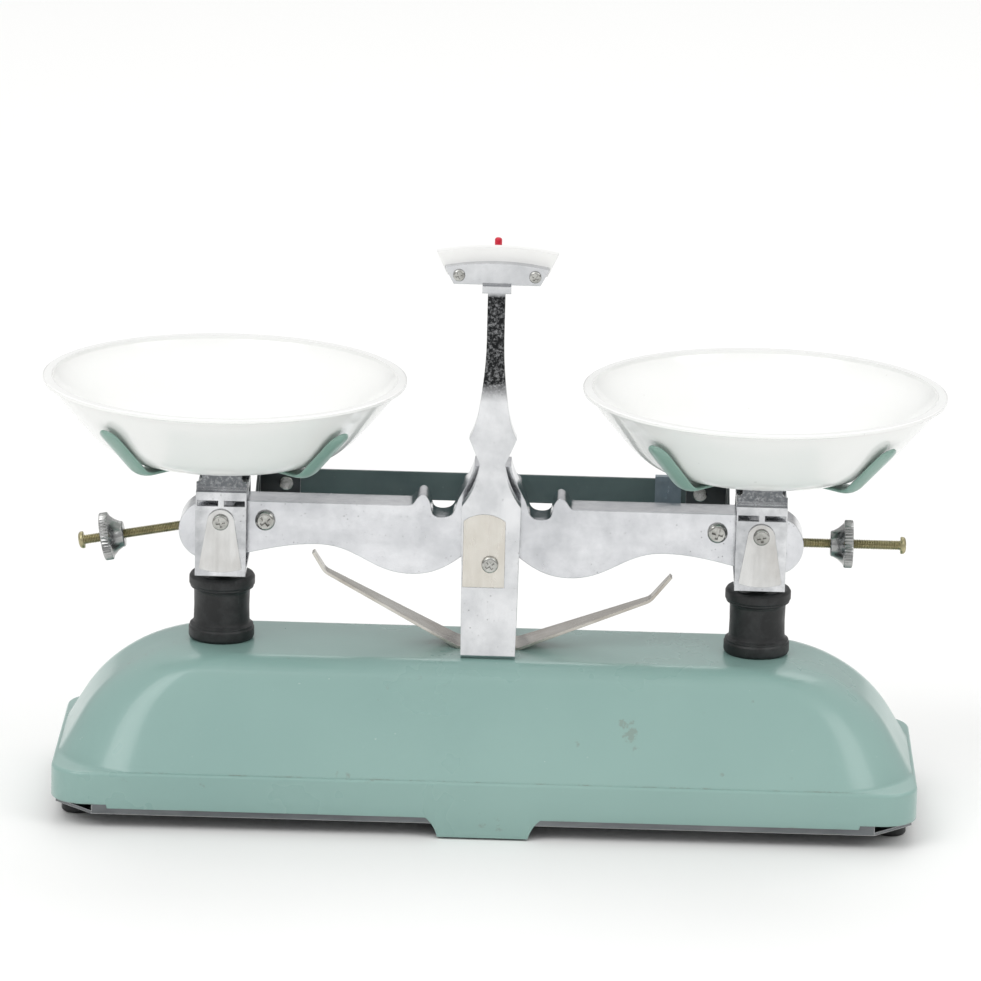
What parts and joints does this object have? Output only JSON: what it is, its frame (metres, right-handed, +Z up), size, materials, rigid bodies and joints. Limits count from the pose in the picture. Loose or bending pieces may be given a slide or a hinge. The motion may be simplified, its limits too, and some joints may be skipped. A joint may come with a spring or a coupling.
{
  "type": "table balance",
  "caption": "Two-pan table balance: rocking beam on knife edges, level-keeping carriers, pointer and dial, ruler with rider and knurled balance nuts on a pressed base.",
  "frame": {"origin": "on the table, under the middle of the base", "axes": "+X along the beam to the side with the level adjusting screw, +Z up, -Y towards the face with the beam screws and the column's bearing cover"},
  "size_m": [0.375, 0.151, 0.2436],
  "materials": {
    "green_paint": "semi-gloss sea-green enamel",
    "chrome_casting": "bright chrome on a slightly pitted casting",
    "bright_sheet": "bright plated strip",
    "bright_screws": "bright plated screws",
    "turned_nuts": "turned and knurled, plated",
    "yellow_zinc": "yellow passivated zinc, olive brass colour",
    "hard_steel": "ground steel",
    "dark_sheet": "dark grey sheet with bare cut edges",
    "dark_green_paint": "dark green enamel",
    "rider_sheet": "grey-blue sheet",
    "white_pan": "white gloss",
    "white_dial": "white gloss with fine marks",
    "red_tip": "red gloss",
    "black_rubber": "matt black moulded rubber"
  },
  "bodies": {
    "base": {"base_shell": "green_paint", "bottom_plate": "dark_sheet", "feet": "black_rubber", "foot_screws": "bright_screws", "foot_nuts": "hard_steel", "column": "chrome_casting", "column_screws": "hard_steel", "column_covers": "chrome_casting", "column_cover_screws": "bright_screws", "centre_bearings": "hard_steel", "dial": "white_dial", "dial_screws": "bright_screws", "stop_arms": "bright_sheet", "guide_bracket": "hard_steel", "guide_pivot_pin": "hard_steel", "sleeve_left": "black_rubber", "sleeve_right": "black_rubber"},
    "beam": {"beam": "chrome_casting", "centre_knife": "hard_steel", "end_knives": "hard_steel", "beam_screws": "bright_screws", "beam_nuts": "hard_steel", "pointer": "hard_steel", "pointer_tip": "red_tip", "ruler": "dark_green_paint", "ruler_bracket_left": "dark_sheet", "ruler_bracket_right": "dark_sheet", "ruler_rivets": "bright_screws", "adjusting_screw_left": "yellow_zinc", "adjusting_screw_right": "yellow_zinc"},
    "lower_bar": {"lower_bar": "hard_steel"},
    "rider": {"rider": "rider_sheet"},
    "balance_nut_left": {"balance_nut_left": "turned_nuts"},
    "carrier_left": {"carrier_left": "chrome_casting", "carrier_covers_left": "chrome_casting", "carrier_cover_screws_left": "bright_screws", "end_bearings_left": "hard_steel", "carrier_stem_left": "hard_steel", "stem_pin_left": "hard_steel", "pan_support_left": "green_paint", "support_screw_left": "hard_steel"},
    "pan_left": {"pan_left": "white_pan"},
    "balance_nut_right": {"balance_nut_right": "turned_nuts"},
    "carrier_right": {"carrier_right": "chrome_casting", "carrier_covers_right": "chrome_casting", "carrier_cover_screws_right": "bright_screws", "end_bearings_right": "hard_steel", "carrier_stem_right": "hard_steel", "stem_pin_right": "hard_steel", "pan_support_right": "green_paint", "support_screw_right": "hard_steel"},
    "pan_right": {"pan_right": "white_pan"}
  },
  "joints": [
    {"name": "beam_rock", "type": "hinge", "parent": "base", "child": "beam", "pos_m": [0, 0, 0.121], "axis": [0, 1, 0], "range_deg": [-3.4, 3.4], "deforming": ["sleeve_left", "sleeve_right"]},
    {"name": "lower_bar_rock", "type": "hinge", "parent": "base", "child": "lower_bar", "pos_m": [0, 0, 0.032], "axis": [0, 1, 0], "range_deg": [-3.4, 3.4]},
    {"name": "carrier_left_level", "type": "hinge", "parent": "beam", "child": "carrier_left", "pos_m": [-0.112, 0, 0.121], "axis": [0, 1, 0], "range_deg": [-3.4, 3.4]},
    {"name": "carrier_right_level", "type": "hinge", "parent": "beam", "child": "carrier_right", "pos_m": [0.112, 0, 0.121], "axis": [0, 1, 0], "range_deg": [-3.4, 3.4]},
    {"name": "pan_left_lift", "type": "slide", "parent": "carrier_left", "child": "pan_left", "axis": [0, 0, 1], "range_m": [0, 0.06]},
    {"name": "pan_right_lift", "type": "slide", "parent": "carrier_right", "child": "pan_right", "axis": [0, 0, 1], "range_m": [0, 0.06]},
    {"name": "rider_slide", "type": "slide", "parent": "beam", "child": "rider", "axis": [1, 0, 0], "range_m": [-0.146, 0.001]},
    {"name": "balance_nut_left_turn", "type": "slide", "parent": "beam", "child": "balance_nut_left", "axis": [-0.9833, 0, -0.1822], "range_m": [-0.022, 0.006]},
    {"name": "balance_nut_right_turn", "type": "slide", "parent": "beam", "child": "balance_nut_right", "axis": [1, 0, 0], "range_m": [-0.009, 0.019]}
  ],
  "couplings": [
    {"joint": "lower_bar_rock", "follows": "beam_rock", "ratio": 1},
    {"joint": "carrier_left_level", "follows": "beam_rock", "ratio": -1},
    {"joint": "carrier_right_level", "follows": "beam_rock", "ratio": -1}
  ]
}
